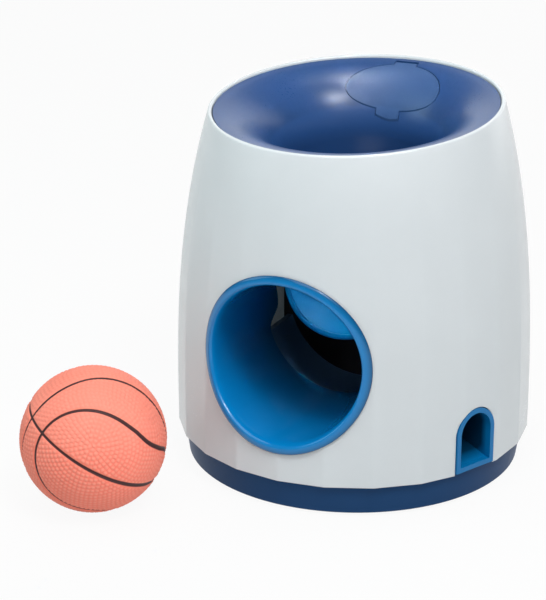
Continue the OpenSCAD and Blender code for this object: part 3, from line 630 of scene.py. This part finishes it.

# %% [markdown]
# The painted seam is a little broader on one side of the ball. On its upper side the number for the pebbles'
# tops is evened out and raised: painted light, for the even bright light on the ball's top.

# %% Skin of the ball
GROOVE, PEBBLE_FADE, GROOVE_FADE = 0.55 * MM, (0.9 * MM, 1.7 * MM), (0.2 * MM, 1.15 * MM)
LINE_MEAN, LINE_SWING, LINE_RANGE, heavy_way = 0.9, 0.4, (0.78, 1.25), Vector((0.898, 0.323, -0.287))
UPWARD, EVEN_SHARE, PAINTED_TOP_LIGHT = (0.0, 0.6), 0.75, 0.5
pebbles = ball.vertex_groups.new(name="pebbles")
grooves = ball.vertex_groups.new(name="grooves")
gaps, tops = [], []
for v in ball.data.vertices:
    way = (v.co - BALL_AT).normalized()
    gap = seam_distance(way)
    height = pebble_height(way) * smooth(*PEBBLE_FADE, gap)
    pebbles.add([v.index], height, "REPLACE")
    grooves.add([v.index], 1 - smooth(*GROOVE_FADE, gap), "REPLACE")
    gaps.append(gap / MM / clamp(LINE_MEAN + LINE_SWING * way.dot(heavy_way), *LINE_RANGE))
    # painted light: the upper side gets an even, paler number
    upward = smooth(*UPWARD, way.z)
    tops.append(height * (1 - EVEN_SHARE * upward) + PAINTED_TOP_LIGHT * upward)
keep_numbers(ball, "seam", gaps)
keep_numbers(ball, "pebble", tops)
modify(ball, "DISPLACE", vertex_group="pebbles", strength=PEBBLE, mid_level=0)
modify(ball, "DISPLACE", vertex_group="grooves", strength=-GROOVE, mid_level=0)
shade_smooth(ball)
print("points in a seam:", sum(gap < 1 for gap in gaps))

# %% [markdown]
# The rubber is matt, and paler on the pebbles' tops: partly rubbed wear and partly a painted highlight. Its
# upper side is painted evenly paler, as painted light. The seams are painted, and the paint ends a little
# inside the groove. A picture of the lines could be wrapped round the ball, but the distance that the points
# keep, in millimetres, gives a clean line all round.

# %% Rubber of the ball
CORAL, PALE_CORAL, SEAM_BROWN = (0.92, 0.188, 0.120, 1), (0.94, 0.330, 0.242, 1), (0.045, 0.012, 0.012, 1)
LINE_HALF, LINE_SOFT, TOP_SHARE, DUST_SCALE = 0.95, 0.22, 0.7, 60
RUBBER_ROUGH, DUST_ROUGH, PAINT_GLOSS, RUBBER_IOR = 0.62, 0.1, 0.12, 1.45
PORE_SCALE, PORE_STRENGTH, PORE_DEPTH = 2200, 0.1, 0.1 * MM
rubber, shader, wire, coords = new_finish("coral_rubber", {"IOR": RUBBER_IOR})
paint = ((LINE_HALF - wire.kept("seam")) / LINE_SOFT).limit()
dust = wire.noise(coords, DUST_SCALE, 3)
pores = wire.noise(coords, PORE_SCALE, 2)
# paler pebble tops: partly rubbed wear, partly a painted highlight
paleness = wire.kept("pebble") * TOP_SHARE + dust * (1 - TOP_SHARE)
skin = wire.blend(paleness, CORAL, PALE_CORAL)
bump = wire.add("ShaderNodeBump", None, {"Strength": PORE_STRENGTH, "Distance": PORE_DEPTH, "Height": pores})
connect(wire, shader, Base_Color=wire.blend(paint, skin, SEAM_BROWN), Normal=bump,
        Roughness=(RUBBER_ROUGH + dust * DUST_ROUGH - paint * PAINT_GLOSS).limit())
dress(ball, rubber, "ball_rubber", "ball", "ball")

# %% [markdown]
# ## Floor and light
# A plain white floor and soft light, as in a studio. To the camera the floor is mostly its own white, so
# only a soft shadow is left on it, while the light that bounces off it is that of ordinary white card.

# %% Floor
FLOOR_SIZE, CARD_WHITE, OWN_WHITE = 12, (0.65, 0.65, 0.65, 1), 0.93
floor = start("floor", bpy.ops.mesh.primitive_plane_add, size=FLOOR_SIZE)
card = bpy.data.materials.new("white_card")
card.use_nodes = True
tree = card.node_tree
tree.nodes.clear()
wire = Wire(tree)
path = tree.nodes.new("ShaderNodeLightPath")
by_camera, by_gloss, through_glass = (
    Wire(tree, path.outputs[ray]) for ray in ("Is Camera Ray", "Is Glossy Ray", "Is Transmission Ray"))
seen = wire.math("MAXIMUM", wire.math("MAXIMUM", by_camera, by_gloss), through_glass)
matt = wire.add("ShaderNodeBsdfDiffuse", None, {"Color": CARD_WHITE})
glow = wire.add("ShaderNodeEmission", None, {"Color": (1, 1, 1, 1), "Strength": 1.0})
mixed = wire.add("ShaderNodeMixShader", None, {0: seen * OWN_WHITE, 1: matt, 2: glow})
tree.links.new(mixed.out, tree.nodes.new("ShaderNodeOutputMaterial").inputs["Surface"])
floor.data.materials.append(card)
print("floor:", FLOOR_SIZE, "m square")

# %% [markdown]
# The key lamp stands high at the right and makes the clear highlights, and a large fill above the camera
# softens its shadows. A cool lamp at the left, one overhead and a broad one behind give the rims their edge
# of light. Two narrow beams do what a studio does with snoots: one goes down the funnel's throat to the
# dish, and one evens out the ball's right side. A sky picture could light it all, but lamps can be placed.

# %% Lights
SKY, SKY_STRENGTH = (0.86, 0.96, 1.0, 1), 0.21
world = bpy.data.worlds.new("studio")
bpy.context.scene.world = world
world.use_nodes = True
world.node_tree.nodes["Background"].inputs["Color"].default_value = SKY
world.node_tree.nodes["Background"].inputs["Strength"].default_value = SKY_STRENGTH


def softbox(name, place, aim, size, power, spread=180, color=(1, 1, 1)):
    """A rectangular lamp that points from its place to its aim."""
    light = bpy.data.lights.new(name, "AREA")
    light.color = color
    light.spread = math.radians(spread)
    light.shape = "RECTANGLE"
    light.size, light.size_y = size
    light.energy = power
    lamp = bpy.data.objects.new(name, light)
    bpy.context.scene.collection.objects.link(lamp)
    lamp.location = place
    lamp.rotation_euler = (Vector(place) - Vector(aim)).to_track_quat("Z", "Y").to_euler()


softbox("key", (0.62, -0.56, 1.17), aim=(0, 0, 0.12), size=(0.36, 0.36), power=7.6)
softbox("fill", (0.40, -0.90, 1.39), aim=(0, 0, 0.08), size=(1.6, 1.4), power=12.8)
softbox("left", (-1.30, -0.70, 0.90), aim=(0, 0, 0.08), size=(0.9, 0.9), power=5.5, color=(0.75, 1, 1))
softbox("top", (-0.05, 0.0, 1.45), aim=(0, 0, 0.1), size=(0.8, 0.8), power=4)
softbox("snoot", (0.0, -0.12, 1.40), aim=(0, 0.005, 0.13), size=(0.10, 0.10), power=0.022, spread=4)
softbox("ball_side", (0.557, -0.30, 0.10), aim=(-0.079, -0.114, 0.034), size=(0.08, 0.08),
        power=0.0042, spread=9)
softbox("back", (0.0, 1.6, 0.6), aim=(0, 0, 0.15), size=(3.2, 1.3), power=13.5)
bpy.context.scene.view_settings.view_transform = "Standard"
